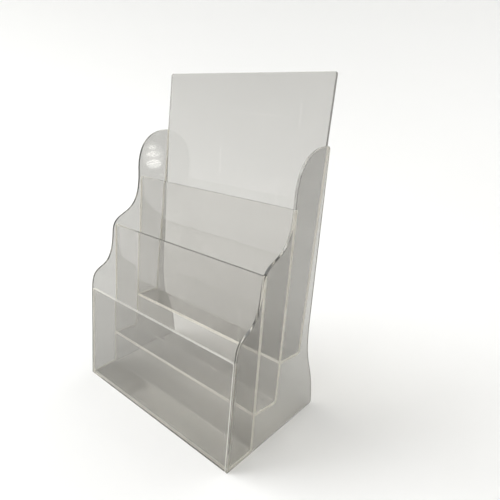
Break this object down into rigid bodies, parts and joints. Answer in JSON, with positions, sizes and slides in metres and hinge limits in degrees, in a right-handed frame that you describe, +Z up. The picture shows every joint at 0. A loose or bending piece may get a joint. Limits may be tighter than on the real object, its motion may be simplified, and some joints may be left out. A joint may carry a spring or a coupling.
{
  "type": "magazine rack",
  "caption": "Free-standing tiered countertop magazine rack in clear acrylic sheet, with stepped pockets between wavy side panels.",
  "frame": {"origin": "on the surface the rack stands on, at the centre of the bounding box's bottom face", "axes": "+Z up, +Y from the lowest tier at the front to the tall back panel, +X to the right of someone facing the front"},
  "size_m": [0.234, 0.1577, 0.3377],
  "materials": {
    "clear_acrylic": "gloss",
    "cement": "satin"
  },
  "bodies": {
    "root": {"left_side_panel": "clear_acrylic", "right_side_panel": "clear_acrylic", "front_panel": "clear_acrylic", "front_pocket_sheet": "clear_acrylic", "middle_pocket_sheet": "clear_acrylic", "rear_pocket_sheet": "clear_acrylic", "front_panel_left_cement": "cement", "front_panel_right_cement": "cement", "front_sheet_left_cement": "cement", "front_sheet_right_cement": "cement", "middle_sheet_left_cement": "cement", "middle_sheet_right_cement": "cement", "rear_sheet_left_cement": "cement", "rear_sheet_right_cement": "cement", "front_shelf_edge_cement": "cement", "middle_shelf_edge_cement": "cement", "rear_shelf_edge_cement": "cement"}
  },
  "joints": []
}
